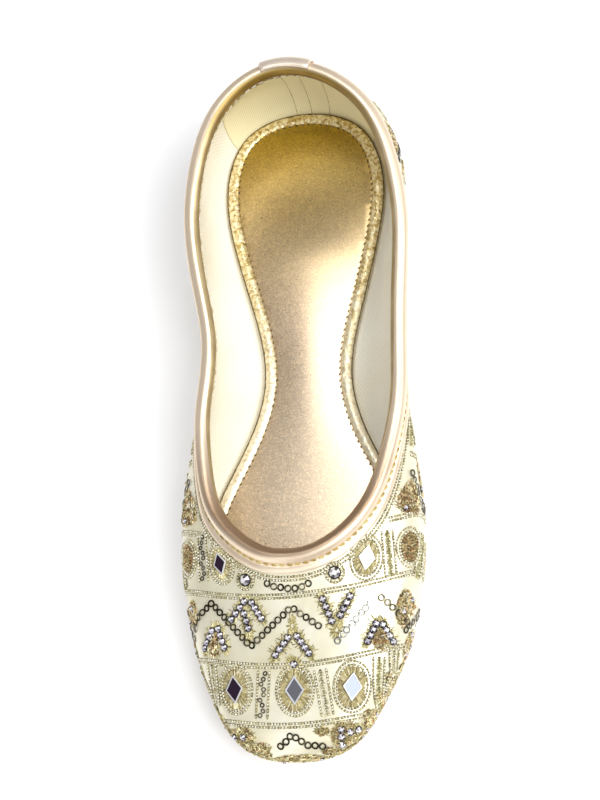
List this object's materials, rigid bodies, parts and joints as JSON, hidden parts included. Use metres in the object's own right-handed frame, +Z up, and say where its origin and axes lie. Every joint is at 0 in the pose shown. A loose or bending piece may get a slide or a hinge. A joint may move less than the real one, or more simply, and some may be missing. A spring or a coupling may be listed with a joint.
{
  "type": "ballet flat",
  "caption": "Left ballet flat: embroidered fabric upper open at the collar, rolled metallic binding, backstay, padded sock with piping and a one-piece moulded sole.",
  "frame": {"origin": "centre of the bounding box in plan, on the plane the shoe stands on", "axes": "+Z up, -Y towards the toe, +Y towards the heel, +X towards the wearer's outer side"},
  "size_m": [0.0898, 0.2628, 0.0593],
  "materials": {
    "sole": "honey-coloured moulded thermoplastic rubber, satin",
    "embroidered_satin": "ivory satin with metallic thread embroidery",
    "binding": "champagne metallic coated fabric",
    "backstay": "pale rose-gold metallic coated fabric",
    "sock": "gold metallic coated fabric with a fine sparkle",
    "piping": "crinkled gold foil"
  },
  "bodies": {
    "root": {"outsole": "sole", "upper": "embroidered_satin", "topline_binding": "binding", "backstay": "backstay", "insole": "sock", "insole_piping": "piping"}
  },
  "joints": []
}
